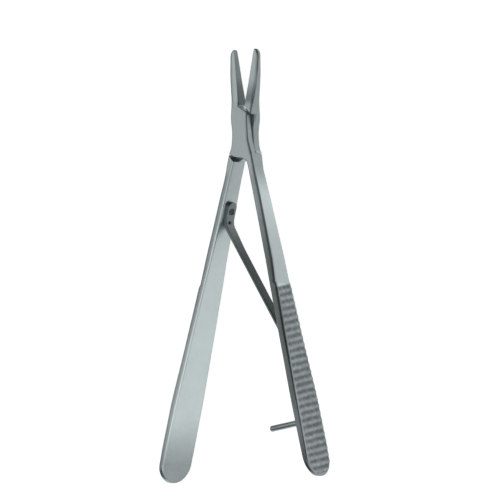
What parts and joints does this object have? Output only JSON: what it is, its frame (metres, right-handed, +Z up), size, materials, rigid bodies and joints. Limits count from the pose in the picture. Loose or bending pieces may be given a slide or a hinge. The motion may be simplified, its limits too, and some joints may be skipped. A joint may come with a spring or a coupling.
{
  "type": "needle holder",
  "caption": "Surgical needle holder with a lap joint, slim plain jaws, flat ribbed handles, a leaf spring between them that opens it, and a stop pin",
  "frame": {"origin": "middle of the footprint, on the plane the handles lie on", "axes": "+X across the handles, +Y along the instrument towards the jaws, +Z up along the pivot, which leaves the front lap"},
  "size_m": [0.0814, 0.1611, 0.0141],
  "materials": {
    "satin_steel": "satin, glass-bead blasted stainless steel",
    "spring_steel": "satin spring steel",
    "polished_steel": "fine-turned stainless steel"
  },
  "bodies": {
    "front": {"front_half": "satin_steel", "pivot_screw": "polished_steel", "stop_pin": "polished_steel"},
    "rear": {"rear_half": "satin_steel", "leaf_spring": "spring_steel", "spring_screw": "polished_steel", "spring_pin": "polished_steel"}
  },
  "joints": [
    {"name": "pivot", "type": "hinge", "parent": "front", "child": "rear", "pos_m": [0, 0.04995, 0.00705], "axis": [0, 0, 1], "range_deg": [0, 19], "stiffness_Nm_per_rad": 0.6, "springref_deg": -14.32, "deforming": ["leaf_spring"]}
  ]
}
